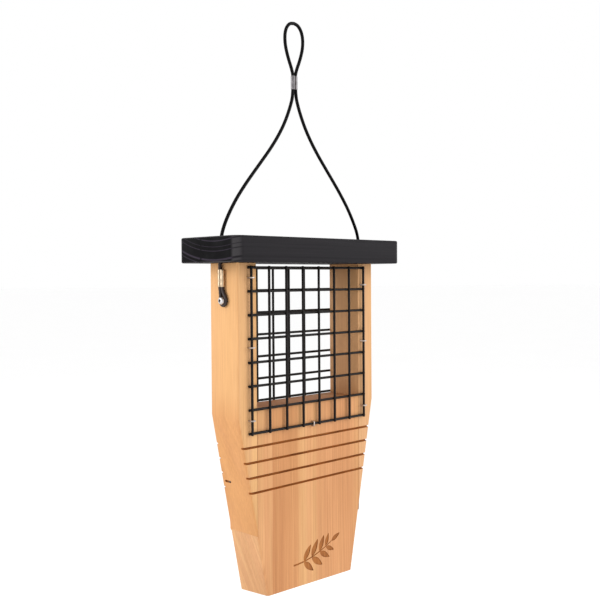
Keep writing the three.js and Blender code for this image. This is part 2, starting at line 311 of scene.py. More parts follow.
def lathe(name, profile, count, materials=()):
    """A profile of (radius, height) from axis to axis, turned round Z."""
    bm = bmesh.new()
    rings = []
    for radius, height in profile:
        points = circle(radius, count) if radius else [(0, 0)]
        rings.append([bm.verts.new((x, y, height)) for x, y in points])
    for low, high in zip(rings, rings[1:]):
        for i in range(count):
            j = (i + 1) % count
            corners = ((low, i), (low, j), (high, j), (high, i))
            bm.faces.new(list(dict.fromkeys(ring[k % len(ring)] for ring, k in corners)))
    return from_bmesh(name, bm, materials)


def length_of(path):
    return sum((b - a).length for a, b in zip(path, path[1:]))


def curve_through(points, spacing):
    """Evenly spaced points on a smooth curve (a centripetal spline) through the given ones."""
    knots = [Vector(p) for p in points]
    ends = [2 * knots[0] - knots[1], *knots, 2 * knots[-1] - knots[-2]]
    steps = 24
    fine = []
    for a, b, c, d in zip(ends, ends[1:], ends[2:], ends[3:]):
        t1 = math.sqrt((b - a).length)
        t2 = t1 + math.sqrt((c - b).length)
        t3 = t2 + math.sqrt((d - c).length)
        for step in range(steps):
            t = t1 + (t2 - t1) * step / steps
            ab = a + (b - a) * (t / t1)
            bc = b + (c - b) * ((t - t1) / (t2 - t1))
            cd = c + (d - c) * ((t - t2) / (t3 - t2))
            abc = ab + (bc - ab) * (t / t2)
            bcd = bc + (cd - bc) * ((t - t1) / (t3 - t1))
            fine.append(abc + (bcd - abc) * ((t - t1) / (t2 - t1)))
    fine.append(knots[-1])
    total = length_of(fine)
    count = max(2, round(total / spacing))
    even, target, done = [fine[0]], total / count, 0.0
    for a, b in zip(fine, fine[1:]):
        long = (b - a).length
        while done + long >= target * len(even) - 1e-12 and len(even) < count:
            even.append(a.lerp(b, (target * len(even) - done) / long))
        done += long
    return [*even, fine[-1]]


def paint(piece, *materials):
    """Gives a joined piece its materials, in the order that its faces count them."""
    indices = [face.material_index for face in piece.data.polygons]
    piece.data.materials.clear()
    for material in materials:
        piece.data.materials.append(MATERIALS[material])
    for face, index in zip(piece.data.polygons, indices):
        face.material_index = min(index, len(materials) - 1)


# ---------------------------------------------------------------- material helpers


def srgb(red, green, blue):
    """A colour given in the 0 to 255 steps of a screen, as the shader's linear values."""
    def linear(step):
        share = step / 255
        return share / 12.92 if share < 0.04045 else ((share + 0.055) / 1.055) ** 2.4
    return (linear(red), linear(green), linear(blue), 1.0)


class Shader:
    """A material's node tree, with a short call for each kind of node."""

    def __init__(self, name):
        self.material = bpy.data.materials.new(name)
        self.material.use_nodes = True
        self.tree = self.material.node_tree
        self.surface = self.tree.nodes["Principled BSDF"]

    def node(self, kind, inputs=None, **settings):
        made = self.tree.nodes.new(kind)
        for name, value in settings.items():
            setattr(made, name, value)
        for key, value in (inputs or {}).items():
            self.put(made.inputs[key], value)
        return made

    def put(self, socket, value):
        if isinstance(value, bpy.types.NodeSocket):
            self.tree.links.new(value, socket)
        else:
            socket.default_value = value

    def place(self):
        return self.node("ShaderNodeTexCoord").outputs["Object"]

    def normal(self):
        return self.node("ShaderNodeTexCoord").outputs["Normal"]

    def maths(self, operation, a, b=0.0):
        return self.node("ShaderNodeMath", {0: a, 1: b}, operation=operation).outputs[0]

    def times(self, a, b):
        return self.maths("MULTIPLY", a, b)

    def plus(self, a, b):
        return self.maths("ADD", a, b)

    def minus(self, a, b):
        return self.maths("SUBTRACT", a, b)

    def positive(self, a):
        return self.maths("ABSOLUTE", a)

    def stretch(self, vector, scale, location=(0, 0, 0)):
        inputs = {"Vector": vector, "Scale": scale, "Location": location}
        return self.node("ShaderNodeMapping", inputs).outputs[0]

    def noise(self, vector, scale, detail=2.0, roughness=0.5):
        inputs = {"Vector": vector, "Scale": scale, "Detail": detail, "Roughness": roughness}
        return self.node("ShaderNodeTexNoise", inputs).outputs[0]

    def apart(self, vector):
        return self.node("ShaderNodeSeparateXYZ", {0: vector}).outputs

    def together(self, x, y, z):
        return self.node("ShaderNodeCombineXYZ", {0: x, 1: y, 2: z}).outputs[0]

    def band(self, value, low, high, to_low=0.0, to_high=1.0):
        """Value, eased from to_low at low to to_high at high."""
        inputs = {"Value": value, "From Min": low, "From Max": high,
                  "To Min": to_low, "To Max": to_high}
        return self.node("ShaderNodeMapRange", inputs, interpolation_type="SMOOTHSTEP").outputs[0]

    def ramp(self, value, stops):
        made = self.node("ShaderNodeValToRGB", {0: value})
        elements = made.color_ramp.elements
        elements[0].position, elements[0].color = stops[0]
        elements[1].position, elements[1].color = stops[-1]
        for position, colour in stops[1:-1]:
            elements.new(position).color = colour
        return made.outputs[0]

    def mix(self, share, a, b, blend="MIX"):
        made = self.node("ShaderNodeMix", data_type="RGBA", blend_type=blend)
        for key, value in {"Factor": share, "A": a, "B": b}.items():
            socket = next(s for s in made.inputs if s.name == key and s.enabled)
            self.put(socket, value)
        return next(s for s in made.outputs if s.enabled)

    def bump(self, height, distance, strength=1.0):
        inputs = {"Height": height, "Distance": distance, "Strength": strength}
        self.put(self.surface.inputs["Normal"], self.node("ShaderNodeBump", inputs).outputs[0])

    def set(self, **values):
        for name, value in values.items():
            self.put(self.surface.inputs[name.replace("_", " ")], value)


def grey(level):
    return (level, level, level, 1.0)


# ---------------------------------------------------------------- wood


def growth_rings(shader, place, across, heart, period, seed):
    """The distance from the tree's heart line, and how late in its year's ring the wood is."""
    crooked_by = 5 * MM                  # how far the heart line wanders
    uneven_by = 3.4                      # how far the years vary, in rings
    wander = shader.noise(shader.stretch(place, (7, 7, 7), seed), 1.0, 1.0)
    parts = shader.apart(place)
    a = shader.minus(parts[across[0]], heart[0])
    b = shader.minus(parts[across[1]], heart[1])
    radius = shader.maths("SQRT", shader.plus(shader.times(a, a), shader.times(b, b)))
    radius = shader.plus(radius, shader.times(wander, crooked_by))
    along = shader.together(shader.times(radius, 170), 0.0, seed[0])
    uneven = shader.noise(along, 1.0, 2.0, 0.6)
    turns = shader.plus(shader.maths("DIVIDE", radius, period), shader.times(uneven, uneven_by))
    late = shader.ramp(shader.maths("FRACT", turns), [
        (0.0, grey(0.0)), (0.5, grey(0.25)), (0.86, grey(1.0)), (1.0, grey(0.0))])
    return radius, late


# Tints multiply the wood's own colour.
HAIR_TINTS = (0.87, 0.83, 0.79, 1), (1.04, 1.04, 1.03, 1)
STREAK_TINTS = (0.88, 0.84, 0.8, 1), (1.04, 1.03, 1.02, 1)
PATCH_TINTS = (0.93, 0.9, 0.87, 1), (1.03, 1.03, 1.03, 1)
# Painted shade for the faces inside the bay.
BAY_SHADE_TINT = (0.79, 0.77, 0.79, 1)
END_GRAIN_TINT = (0.62, 0.5, 0.4, 1)
SANDED_TINT = (1.14, 1.08, 1.03, 1)


def stripe_share(shader, place, left, right, seed):
    """How far a spot is inside a stripe from one X to another, sharp on its left side only."""
    waves = shader.noise(shader.stretch(place, (0, 0, 14), seed), 1.0, 1.0)
    wavy = shader.plus(shader.apart(place)[0], shader.times(waves, 3 * MM))
    return shader.times(
        shader.band(wavy, left, left + 1.2 * MM), shader.band(wavy, right + 12 * MM, right))


def tint_faces(shader, colour, parts, facing, sideways, tints):
    """Tints a board by where its faces point. The three tints are of the left and the right of
    its front and back, and of its sides below the shoulder. The faces inside the bay get painted
    shade, the end grain is darker and the sanded edges are paler."""
    left_tint, right_tint, low_side_tint = tints
    onwards = shader.minus(1.0, sideways)
    across = shader.mix(shader.band(parts[0], -10 * MM, 35 * MM), left_tint, right_tint)
    colour = shader.mix(onwards, colour, across, "MULTIPLY")
    low = shader.band(parts[2], SHOULDER_Z + 25 * MM, SHOULDER_Z - 10 * MM)
    colour = shader.mix(shader.times(sideways, low), colour, low_side_tint, "MULTIPLY")
    # Painted shade: the faces inside the bay, which face the middle, are darkened.
    inward = shader.band(shader.times(facing[0], parts[0]), -20 * MM, -50 * MM)
    colour = shader.mix(inward, colour, BAY_SHADE_TINT, "MULTIPLY")

    upright = shader.positive(facing[2])
    end = shader.times(shader.band(upright, 0.6, 0.95), 0.75)
    colour = shader.mix(end, colour, END_GRAIN_TINT, "MULTIPLY")
    flattest = shader.maths("MAXIMUM", shader.positive(facing[0]), shader.positive(facing[1]))
    flattest = shader.maths("MAXIMUM", flattest, upright)
    sanded = shader.times(shader.band(flattest, 0.97, 0.75), 0.4)
    return shader.mix(sanded, colour, SANDED_TINT, "MULTIPLY")


def cedar(name, heart, colours, seed, tints, calm, rosy_stripe=None):
    """Planed cedar with its grain along Z, round a heart line at some X and Y. The first calm
    fades the grain on the side faces, and the second on the front and back."""
    light, pink, dark = colours
    shader = Shader(name)
    place = shader.place()
    radius, late = growth_rings(shader, place, (0, 1), heart, 2.0 * MM, seed)
    parts = shader.apart(place)
    facing = shader.apart(shader.normal())
    sideways = shader.band(shader.positive(facing[0]), 0.5, 0.9)
    grain = shader.band(sideways, 0, 1, 1 - calm[1], 1 - calm[0])
    strip = shader.together(shader.times(radius, 95), seed[1], shader.times(parts[2], 1.3))
    broad = shader.band(shader.noise(strip, 1.0, 2.0), 0.34, 0.66)
    hair = shader.together(shader.times(radius, 700), seed[2], shader.times(parts[2], 5))
    hairs = shader.noise(hair, 1.0, 2.0, 0.6)
    fibre = shader.noise(shader.stretch(place, (1100, 1100, 22), seed), 1.0, 3.0, 0.6)
    cloud = shader.noise(shader.stretch(place, (40, 40, 9), seed), 1.0, 2.0)

    colour = shader.mix(shader.times(broad, grain), light, pink)
    if rosy_stripe:
        inside = stripe_share(shader, place, *rosy_stripe, seed)
        colour = shader.mix(shader.times(inside, 0.55), colour, dark)
    lines = shader.times(shader.times(late, 0.3), grain)
    colour = shader.mix(lines, colour, dark)
    fine = shader.mix(shader.band(hairs, 0.32, 0.7), *HAIR_TINTS)
    colour = shader.mix(shader.times(grain, 0.9), colour, fine, "MULTIPLY")
    streak = shader.mix(shader.band(fibre, 0.3, 0.75), *STREAK_TINTS)
    colour = shader.mix(0.8, colour, streak, "MULTIPLY")
    patch = shader.mix(shader.band(cloud, 0.3, 0.7), *PATCH_TINTS)
    colour = shader.mix(1.0, colour, patch, "MULTIPLY")
    colour = tint_faces(shader, colour, parts, facing, sideways, tints)

    relief = shader.plus(shader.times(late, 0.4), fibre)
    shader.bump(relief, 0.12 * MM, 0.6)
    rough = shader.band(fibre, 0.2, 0.8, 0.62, 0.78)
    shader.set(Base_Color=colour, Roughness=rough, Specular_IOR_Level=0.3)
    return shader.material


def sawn_cedar():
    """The inside of a saw groove, browned by the blade."""
    shader = Shader("sawn_cedar")
    place = shader.place()
    teeth = shader.noise(shader.stretch(place, (60, 900, 1500)), 1.0, 2.0)
    cloud = shader.noise(shader.stretch(place, (50, 200, 200)), 1.0, 2.0)
    colour = shader.mix(shader.band(cloud, 0.3, 0.7), srgb(126, 70, 20), srgb(176, 106, 42))
    colour = shader.mix(shader.band(teeth, 0.35, 0.7), colour, srgb(190, 120, 54))
    shader.bump(teeth, 0.15 * MM, 0.8)
    shader.set(Base_Color=colour, Roughness=0.85)
    return shader.material


def burnt_cedar():
    """The floor and walls of the burned-in ornament."""
    shader = Shader("burnt_cedar")
    place = shader.place()
    fibre = shader.noise(shader.stretch(place, (700, 700, 20)), 1.0, 3.0)
    cloud = shader.noise(shader.stretch(place, (160, 160, 90)), 1.0, 2.0)
    colour = shader.mix(shader.band(cloud, 0.3, 0.7), srgb(130, 72, 20), srgb(156, 92, 32))
    colour = shader.mix(shader.band(fibre, 0.4, 0.75), colour, srgb(170, 106, 44))
    shader.bump(fibre, 0.1 * MM, 0.7)
    shader.set(Base_Color=colour, Roughness=0.8)
    return shader.material


def black_stain():
    """Pine with its grain along X, under a thin black stain that its end grain drinks deepest."""
    shader = Shader("black_stain")
    place = shader.place()
    seed = (3.1, 1.7, 9.2)
    heart = (-13 * MM, ROOF_LOW.z + 115 * MM)
    late = growth_rings(shader, place, (1, 2), heart, 4.6 * MM, seed)[1]
    fibre = shader.noise(shader.stretch(place, (14, 800, 800), seed), 1.0, 3.0, 0.6)
    cloud = shader.noise(shader.stretch(place, (18, 60, 60), seed), 1.0, 2.0)
    face = shader.mix(shader.band(cloud, 0.3, 0.7), srgb(30, 28, 31), srgb(38, 36, 39))
    face = shader.mix(shader.times(late, 0.35), face, srgb(18, 17, 19))
    face = shader.mix(shader.band(fibre, 0.45, 0.8, 0, 0.5), face, srgb(42, 40, 43))
    ends = shader.mix(shader.band(late, 0.5, 0.95), srgb(1, 0, 2), srgb(44, 38, 48))
    from_crack = shader.positive(shader.minus(shader.apart(place)[1], 6 * MM))
    ends = shader.mix(shader.band(from_crack, 1.6 * MM, 0.6 * MM, 0, 0.8), ends, srgb(2, 1, 3))
    facing = shader.apart(shader.normal())
    endwards = shader.positive(facing[0])
    colour = shader.mix(shader.band(endwards, 0.72, 0.97), face, ends)
    # The rounded corners are lighter: the stain is thinner there, and a painted sheen is added on
    # top.
    corner = shader.times(shader.band(endwards, 0.12, 0.6), shader.band(endwards, 0.99, 0.86))
    sanded_and_sheen = shader.mix(shader.band(late, 0.3, 0.9), srgb(66, 64, 66), srgb(30, 28, 31))
    colour = shader.mix(shader.times(corner, 0.75), colour, sanded_and_sheen)
    relief = shader.plus(shader.times(late, 0.6), fibre)
    shader.bump(relief, 0.15 * MM, 0.7)
    rough = shader.band(cloud, 0.3, 0.7, 0.5, 0.68)
    shader.set(Base_Color=colour, Roughness=rough, Specular_IOR_Level=0.08)
    return shader.material


# ---------------------------------------------------------------- metal and vinyl


def vinyl(name, colour, highlight, roughness, bump, shine):
    """Dark vinyl with slight dips and dust."""
    shader = Shader(name)
    place = shader.place()
    lumps = shader.noise(place, 260.0, 2.0)
    dust = shader.noise(place, 1800.0, 3.0, 0.7)
    tint = shader.mix(shader.band(dust, 0.5, 0.8, 0, 0.5), colour, highlight)
    shader.bump(lumps, bump, 0.6)
    rough = shader.band(dust, 0.3, 0.8, roughness, roughness + 0.2)
    shader.set(Base_Color=tint, Roughness=rough, Specular_IOR_Level=shine)
    return shader.material


def metal(name, dull, bright, roughness, grain, bump):
    """Bare metal with fine scratches along its grain, given as a stretch of X, Y and Z."""
    shader = Shader(name)
    place = shader.place()
    scratch = shader.noise(shader.stretch(place, grain), 1.0, 4.0, 0.65)
    cloud = shader.noise(place, 300.0, 2.0)
    colour = shader.mix(shader.band(cloud, 0.3, 0.7), dull, bright)
    shader.bump(scratch, bump, 0.5)
    rough = shader.band(scratch, 0.3, 0.75, roughness, roughness + 0.22)
    shader.set(Base_Color=colour, Metallic=1.0, Roughness=rough)
    return shader.material


def make_materials():
    gold = (srgb(214, 166, 112), srgb(219, 168, 128), srgb(188, 130, 80))
    rosy = (srgb(218, 170, 118), srgb(212, 154, 109), srgb(186, 122, 74))
    board_tints = ((1.04, 1.07, 1.1, 1), (1.0, 1.03, 1.08, 1), (0.89, 0.79, 0.72, 1))
    tail_tints = ((1.0, 1.01, 1.01, 1), (0.91, 0.87, 0.82, 1), (0.89, 0.93, 0.98, 1))
    return {
        "left_cedar": cedar("left_cedar", (-0.42, -0.13), gold, (1.3, 4.1, 0.7), board_tints,
                            calm=(0.75, 0.45)),
        "right_cedar": cedar("right_cedar", (0.39, -0.11), gold, (7.7, 2.9, 3.3), board_tints,
                             calm=(0.75, 0.45)),
        "tail_cedar": cedar("tail_cedar", (0.19, 0.16), rosy, (5.2, 8.6, 2.1), tail_tints,
                            calm=(0.3, 0.25), rosy_stripe=(-44 * MM, -18 * MM)),
        "sawn_cedar": sawn_cedar(),
        "burnt_cedar": burnt_cedar(),
        "black_stain": black_stain(),
        "coated_wire": vinyl("coated_wire", srgb(16, 11, 10), srgb(34, 27, 25), 0.4,
                             0.12 * MM, 0.16),
        "cable_coating": vinyl("cable_coating", srgb(2, 1, 2), srgb(18, 14, 17), 0.28,
                               0.04 * MM, 0.08),
        # The cable ends' coating is drawn lighter than the rest of the same cable: a painted
        # highlight.
        "highlit_cable_coating": vinyl("highlit_cable_coating", srgb(44, 33, 32), srgb(76, 62, 60), 0.3,
                                0.04 * MM, 0.3),
        "staple_steel": metal("staple_steel", srgb(166, 154, 146), srgb(196, 184, 176), 0.4,
                              (900, 900, 900), 0.03 * MM),
        "zinc": metal("zinc", srgb(186, 182, 182), srgb(214, 210, 210), 0.26,
                      (500, 500, 500), 0.02 * MM),
        "aluminium": metal("aluminium", srgb(104, 102, 104), srgb(130, 127, 129), 0.38,
                           (700, 700, 60), 0.015 * MM),
        # A lighter, warmer copy of the aluminium for the side sleeves: painted light and a painted
        # reflection of the cedar.
        "warm_lit_aluminium": metal("warm_lit_aluminium", srgb(186, 164, 136), srgb(212, 190, 162),
                                  0.36, (700, 700, 60), 0.015 * MM),
        # Dark metal for the screws' recesses and the sleeves' grooves: painted shade, with some
        # grime in the recesses.
        "shade_and_grime_metal": metal("shade_and_grime_metal", srgb(58, 50, 42), srgb(84, 74, 64), 0.6,
                             (900, 900, 900), 0.03 * MM),
        "nail_steel": metal("nail_steel", srgb(96, 84, 76), srgb(120, 110, 102), 0.45,
                            (900, 900, 900), 0.03 * MM),
    }


MATERIALS = make_materials()

# ---------------------------------------------------------------- wooden body


def kerf_cutter(z, side):
    """A saw groove's shape: slightly flared at the face, and rounded at its floor."""
    past_face = 1 * MM
    depths = [-past_face, KERF_FLARE_DEPTH, KERF_DEPTH - KERF_SOFT_FLOOR, KERF_DEPTH]
    halves = [KERF_HALF_HEIGHT + KERF_FLARE, KERF_HALF_HEIGHT, KERF_HALF_HEIGHT,
              KERF_HALF_HEIGHT - KERF_SOFT_FLOOR]
    upper = [(side * (HALF_DEPTH - d), z + h) for d, h in zip(depths, halves)]
    lower = [(side * (HALF_DEPTH - d), z - h) for d, h in zip(depths, halves)]
    outline = upper + lower[::-1]
    return prism("kerf", outline, -PAST_BODY, PAST_BODY, 0, material_index=1)


def cut_kerfs(board):
    for i in range(KERF_COUNT):
        for side in (-1, 1):
            combine(board, kerf_cutter(KERF_FIRST_Z - i * KERF_PITCH, side))


def cut_nail_mark(board, place, side):
    """The dark slot that the nail gun's driver left, in a side face and down to a nail's head."""
    outside, deeper = 2 * MM, 1.2 * MM
    ends = sorted((place.x + side * outside, place.x - side * deeper))
    forward, back, radius = 2.1 * MM, 4.0 * MM, 0.95 * MM
    slot = circle(radius, 28, (place.y, place.z))
    slot = [(y + back if y > place.y else y - forward, z) for y, z in slot]
    combine(board, prism("slot", slot, *ends, 0, material_index=1))


def side_board(name, side, wood):
    """A side board: side is -1 for the left and 1 for the right one."""
    toe_z = SHOULDER_Z - (HALF_WIDTH - BOARD_INNER_X) / TAPER
    outline = [
        (side * BOARD_INNER_X, BODY_TOP), (side * BOARD_INNER_X, toe_z),
        (side * HALF_WIDTH, SHOULDER_Z), (side * HALF_WIDTH, BODY_TOP),
    ]
    materials = [wood, MATERIALS["sawn_cedar"], MATERIALS["burnt_cedar"]]
    board = prism(name, outline, -HALF_DEPTH, HALF_DEPTH, 1, materials=materials)

    def radius_of(middle, along):
        outer = abs(middle.x) > BOARD_INNER_X + 1 * MM
        return ROUNDED_EDGE if outer and abs(along.z) > 0.5 else CRISP_EDGE

    bevel_by_weight(board, radius_of)
    cut_kerfs(board)
    low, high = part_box("left_brad_nail" if side < 0 else "right_brad_nail")
    centre = (low + high) / 2
    nail_face = Vector((side * max(abs(low.x), abs(high.x)), centre.y, centre.z))
    cut_nail_mark(board, nail_face, side)
    smooth(board)
    return board


def sawn_end_cutter():
    """What the saw took off below the tail."""
    deep, half_thick = 40 * MM, 50 * MM
    outline = [(-PAST_BODY, -deep), (PAST_BODY, -deep), (PAST_BODY, 0), (-PAST_BODY, 0)]
    cutter = prism("saw_cut", outline, -half_thick, half_thick, 1)
    lean_front = Matrix.Rotation(-math.atan2(BOTTOM_RISE_FRONT, 2 * HALF_DEPTH), 4, "X")
    lean_left = Matrix.Rotation(math.atan2(BOTTOM_RISE_LEFT, 2 * BOTTOM_HALF), 4, "Y")
    cutter.data.transform(Matrix.Translation((0, 0, BOTTOM_Z)) @ lean_left @ lean_front)
    return cutter


SPRIG_X, SPRIG_Z = 1.5 * MM, BOTTOM_Z + 25.5 * MM
SPRIG_LENGTH = 46 * MM
SPRIG_RISE = 11.4 * MM
SPRIG_STEPS = 24
STEM_HALF = 0.75 * MM                # at its foot
STEM_THINS_BY = 0.4 * MM
LEAF_PAIRS = [(6, 15 * MM), (11, 15.5 * MM), (16, 13.8 * MM), (20, 11 * MM)]  # step, length
LEAF_WIDTH_SHARE = 0.36
LEAF_SPREAD = math.radians(48)       # between a leaf and the stem
LEAF_STALK = 0.8 * MM
TIP_LEAF = (11.5 * MM, 4.1 * MM)
LEAF_DEPTH = 0.5 * MM


def leaf_outline(base, lean, long, wide, count=14):
    """A pointed leaf in X and Z, growing from base at an angle from +X."""
    sides = ([], [])
    for i in range(count + 1):
        t = i / count
        half = 0.5 * wide * math.sin(math.pi * t ** 0.8) ** 0.85 if 0 < t < 1 else 0.0
        for side, points in zip((1, -1), sides):
            a, b = t * long, side * half
            points.append((
                base[0] + a * math.cos(lean) - b * math.sin(lean),
                base[1] + a * math.sin(lean) + b * math.cos(lean),
            ))
    return sides[0] + sides[1][-2:0:-1]


def sprig_outlines():
    """A plain sprig: a curved stem with leaves in pairs and one at its tip."""
    stem = []
    for i in range(SPRIG_STEPS + 1):
        t = i / SPRIG_STEPS
        stem.append((SPRIG_X + (t - 0.5) * SPRIG_LENGTH, SPRIG_Z + (t * t - 0.4) * SPRIG_RISE))

    def along(i):
        a, b = stem[max(i - 1, 0)], stem[min(i + 1, SPRIG_STEPS)]
        return math.atan2(b[1] - a[1], b[0] - a[0])

    ribbon = ([], [])
    for i, (x, z) in enumerate(stem):
        half = STEM_HALF - STEM_THINS_BY * i / SPRIG_STEPS
        lean = along(i)
        for side, points in zip((1, -1), ribbon):
            points.append((x - side * half * math.sin(lean), z + side * half * math.cos(lean)))
    outlines = [ribbon[0] + ribbon[1][::-1]]
    for i, long in LEAF_PAIRS:
        for side in (1, -1):
            lean = along(i) + side * LEAF_SPREAD
            start = (stem[i][0] + LEAF_STALK * math.cos(lean),
                     stem[i][1] + LEAF_STALK * math.sin(lean))
            outlines.append(leaf_outline(start, lean, long, long * LEAF_WIDTH_SHARE))
    outlines.append(leaf_outline(stem[-1], along(SPRIG_STEPS), *TIP_LEAF))
    return outlines


def tail_block():
    """The block between the side boards, with its slanting end, grooves and sprig."""
    uncut_z = BOTTOM_Z - 15 * MM
    uncut_half = HALF_WIDTH - TAPER * (SHOULDER_Z - uncut_z)
    bend_z = SHOULDER_Z - (HALF_WIDTH - TAIL_HALF) / TAPER
    outline = [
        (-TAIL_HALF, SILL_Z), (-TAIL_HALF, bend_z), (-uncut_half, uncut_z),
        (uncut_half, uncut_z), (TAIL_HALF, bend_z), (TAIL_HALF, SILL_Z),
    ]
    materials = [MATERIALS["tail_cedar"], MATERIALS["sawn_cedar"], MATERIALS["burnt_cedar"]]
    block = prism("tail_block_shaped", outline, -HALF_DEPTH, HALF_DEPTH, 1, materials=materials)

    def radius_of(middle, along):
        tapered = middle.z < bend_z - 1 * MM and abs(along.z) > 0.5
        return ROUNDED_EDGE if tapered else CRISP_EDGE

    bevel_by_weight(block, radius_of)
    combine(block, sawn_end_cutter())
    cut_kerfs(block)
    face = -HALF_DEPTH
    for outline in sprig_outlines():
        combine(block, prism("sprig", outline, face - 1 * MM, face + LEAF_DEPTH, 1, 2))
    smooth(block)
    return block


def add_wooden_body():
    pieces = [
        (side_board("left_side_board_shaped", -1, MATERIALS["left_cedar"]), "left_side_board"),
        (side_board("right_side_board_shaped", 1, MATERIALS["right_cedar"]), "right_side_board"),
        (tail_block(), "tail_block"),
    ]
    for piece, node in pieces:
        stand_in(piece, "feeder", node)


# ---------------------------------------------------------------- roof


def add_roof():
    past_roof = 10 * MM
    outline = rounded_rectangle(2 * ROOF_HIGH.x, 2 * ROOF_HIGH.y, ROOF_CORNER, steps=12)
    roof = prism("roof_board_shaped", outline, ROOF_LOW.z, ROOF_HIGH.z, 2,
                 materials=[MATERIALS["black_stain"]])

    def radius_of(middle, along):
        return ROOF_EDGE if abs(along.z) < 0.5 else 0.0

    bevel_by_weight(roof, radius_of, 3)
    for side in (-1, 1):
        outline = circle(CABLE_HOLE_RADIUS, 32, (side * CABLE_HOLE_X, 0))
        combine(roof, prism("hole", outline, ROOF_LOW.z - past_roof, ROOF_HIGH.z + past_roof, 2))
    smooth(roof)
    stand_in(roof, "roof", "roof_board")


# ---------------------------------------------------------------- wire grids


def wire(name, start, end):
    """One straight wire with softly rounded ends."""
    along = (end - start).normalized()
    soft = 0.35 * MM
    path = [start, start + along * soft * 0.3, start + along * soft]
    path += [end - along * soft, end - along * soft * 0.3, end]
    scales = [0.72, 0.93, 1, 1, 0.93, 0.72]

    def section_at(i):
        return circle(WIRE_RADIUS * scales[i], 16, start=math.pi / 16)

    return sweep(name, path, section_at)


def grid(name, node, half_turn):
    whole = None
    for i in range(WIRE_CELLS + 1):
        z = GRID_TOP_Z - i * WIRE_PITCH
        x = GRID_MIDDLE_X + i * WIRE_PITCH - GRID_HALF
        reach = GRID_HALF + WIRE_SIDE_OVERHANG
        start = Vector((GRID_MIDDLE_X - reach, INNER_WIRE_Y, z))
        across = wire(name, start, start + Vector((2 * reach, 0, 0)))
        top = Vector((x, OUTER_WIRE_Y, GRID_TOP_Z + WIRE_END_OVERHANG))
        foot = Vector((x, OUTER_WIRE_Y, GRID_TOP_Z - 2 * GRID_HALF - WIRE_END_OVERHANG))
        upright = wire(name, top, foot)
        for piece in (across, upright):
            if whole is None:
                whole = piece
            else:
                combine(whole, piece, "UNION")
    if half_turn:
        whole.data.transform(Matrix.Rotation(math.pi, 4, "Z"))
    paint(whole, "coated_wire")
    smooth(whole, 40)
    stand_in(whole, "feeder", node)


def add_grids():
    grid("front_grid_coated", "front_wire_grid", False)
    grid("back_grid_coated", "back_wire_grid", True)


# ---------------------------------------------------------------- staples

STAPLE_WIRE = 1.0 * MM
STAPLE_THICKNESS = 1.2 * MM
STAPLE_CORNER = 0.25 * MM
STAPLE_BEND = 1.2 * MM


def add_staple(node):
    """A staple of flat wire, with rounded shoulders and chisel points, where its CAD node is."""
    low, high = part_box(node)
    middle = (low + high) / 2
    side = -1 if node.startswith("front") else 1
    crown = (low.y if side < 0 else high.y) - side * STAPLE_WIRE / 2
    tip = high.y if side < 0 else low.y
    upright = high.z - low.z > high.x - low.x
    across = Vector((0, 0, 1)) if upright else Vector((1, 0, 0))
    thick = Vector((1, 0, 0)) if upright else Vector((0, 0, 1))
    half = ((high.z - low.z) if upright else (high.x - low.x)) / 2 - STAPLE_WIRE / 2
    inward = Vector((0, -side, 0))
    top = Vector((middle.x, crown, middle.z))
    down = abs(tip - crown)
    leg_shares = (1, 0.93, 0.5)
    path = [top - across * half + inward * (down * share) for share in leg_shares]
    path += [
        top - across * (half - STAPLE_BEND * (1 - math.cos(a)))
        + inward * STAPLE_BEND * (1 - math.sin(a))
        for a in (math.radians(d) for d in range(0, 91, 15))
    ]
    path += [2 * top - p + 2 * inward * (p - top).dot(inward) for p in reversed(path)]
    last = len(path) - 1
    point_shares = (0.25, 0.85)

    def section_at(i):
        end = min(i, last - i)
        share = point_shares[end] if end < len(point_shares) else 1.0
        return [(a, b * share) for a, b in
                rounded_rectangle(STAPLE_THICKNESS, STAPLE_WIRE, STAPLE_CORNER)]

    staple = sweep(node + "_wire", path, section_at, [MATERIALS["staple_steel"]], thick)
    smooth(staple)
    stand_in(staple, "feeder", node)


# ---------------------------------------------------------------- screws and nails

SCREW_HEAD_RADIUS = 3.2 * MM
SCREW_HEAD_HEIGHT = 2.1 * MM
SCREW_SHANK_RADIUS = 1.7 * MM
THREAD_CORE_RADIUS = 1.15 * MM
THREAD_PITCH = 1.5 * MM
THREAD_HALF_WIDTH = 0.32             # of its pitch
SCREW_NECK = 4 * MM
SCREW_POINT = 4 * MM
RECESS_HALF_LONG = 1.6 * MM
RECESS_HALF_WIDE = 0.42 * MM
RECESS_DEPTH = 1.2 * MM
RECESS_TURN = 18                     # degrees


def screw_head():
    """A domed head with a cross recess that narrows to a point in its middle."""
    past_head = SCREW_HEAD_HEIGHT + 1 * MM
    profile = [(0, 0), (0.6 * SCREW_HEAD_RADIUS, 0), (0.97 * SCREW_HEAD_RADIUS, 0)]
    for i in range(9):
        angle = math.radians(10 + 80 * i / 8)
        profile.append((
            SCREW_HEAD_RADIUS * (0.45 + 0.55 * math.cos(angle)),
            SCREW_HEAD_HEIGHT * math.sin(angle),
        ))
    profile.append((0, SCREW_HEAD_HEIGHT))
    head = lathe("screw_head", profile, 40)
    corners = ((-1, -1), (1, -1), (1, 1), (-1, 1))
    arm = [(x * RECESS_HALF_LONG, y * RECESS_HALF_WIDE) for x, y in corners]
    for turn in (0, 90):
        cutter = prism("recess", arm, SCREW_HEAD_HEIGHT - RECESS_DEPTH, past_head, 2, 1)
        cutter.data.transform(Matrix.Rotation(math.radians(turn + RECESS_TURN), 4, "Z"))
        combine(head, cutter)
    socket = lathe("socket", [(0, SCREW_HEAD_HEIGHT - 1.5 * MM), (0.95 * MM, SCREW_HEAD_HEIGHT),
                              (1.2 * MM, past_head), (0, past_head)], 16)
    # The recess and socket faces take the second material: painted shade, with some grime.
    for face in socket.data.polygons:
        face.material_index = 1
    combine(head, socket)
    return head


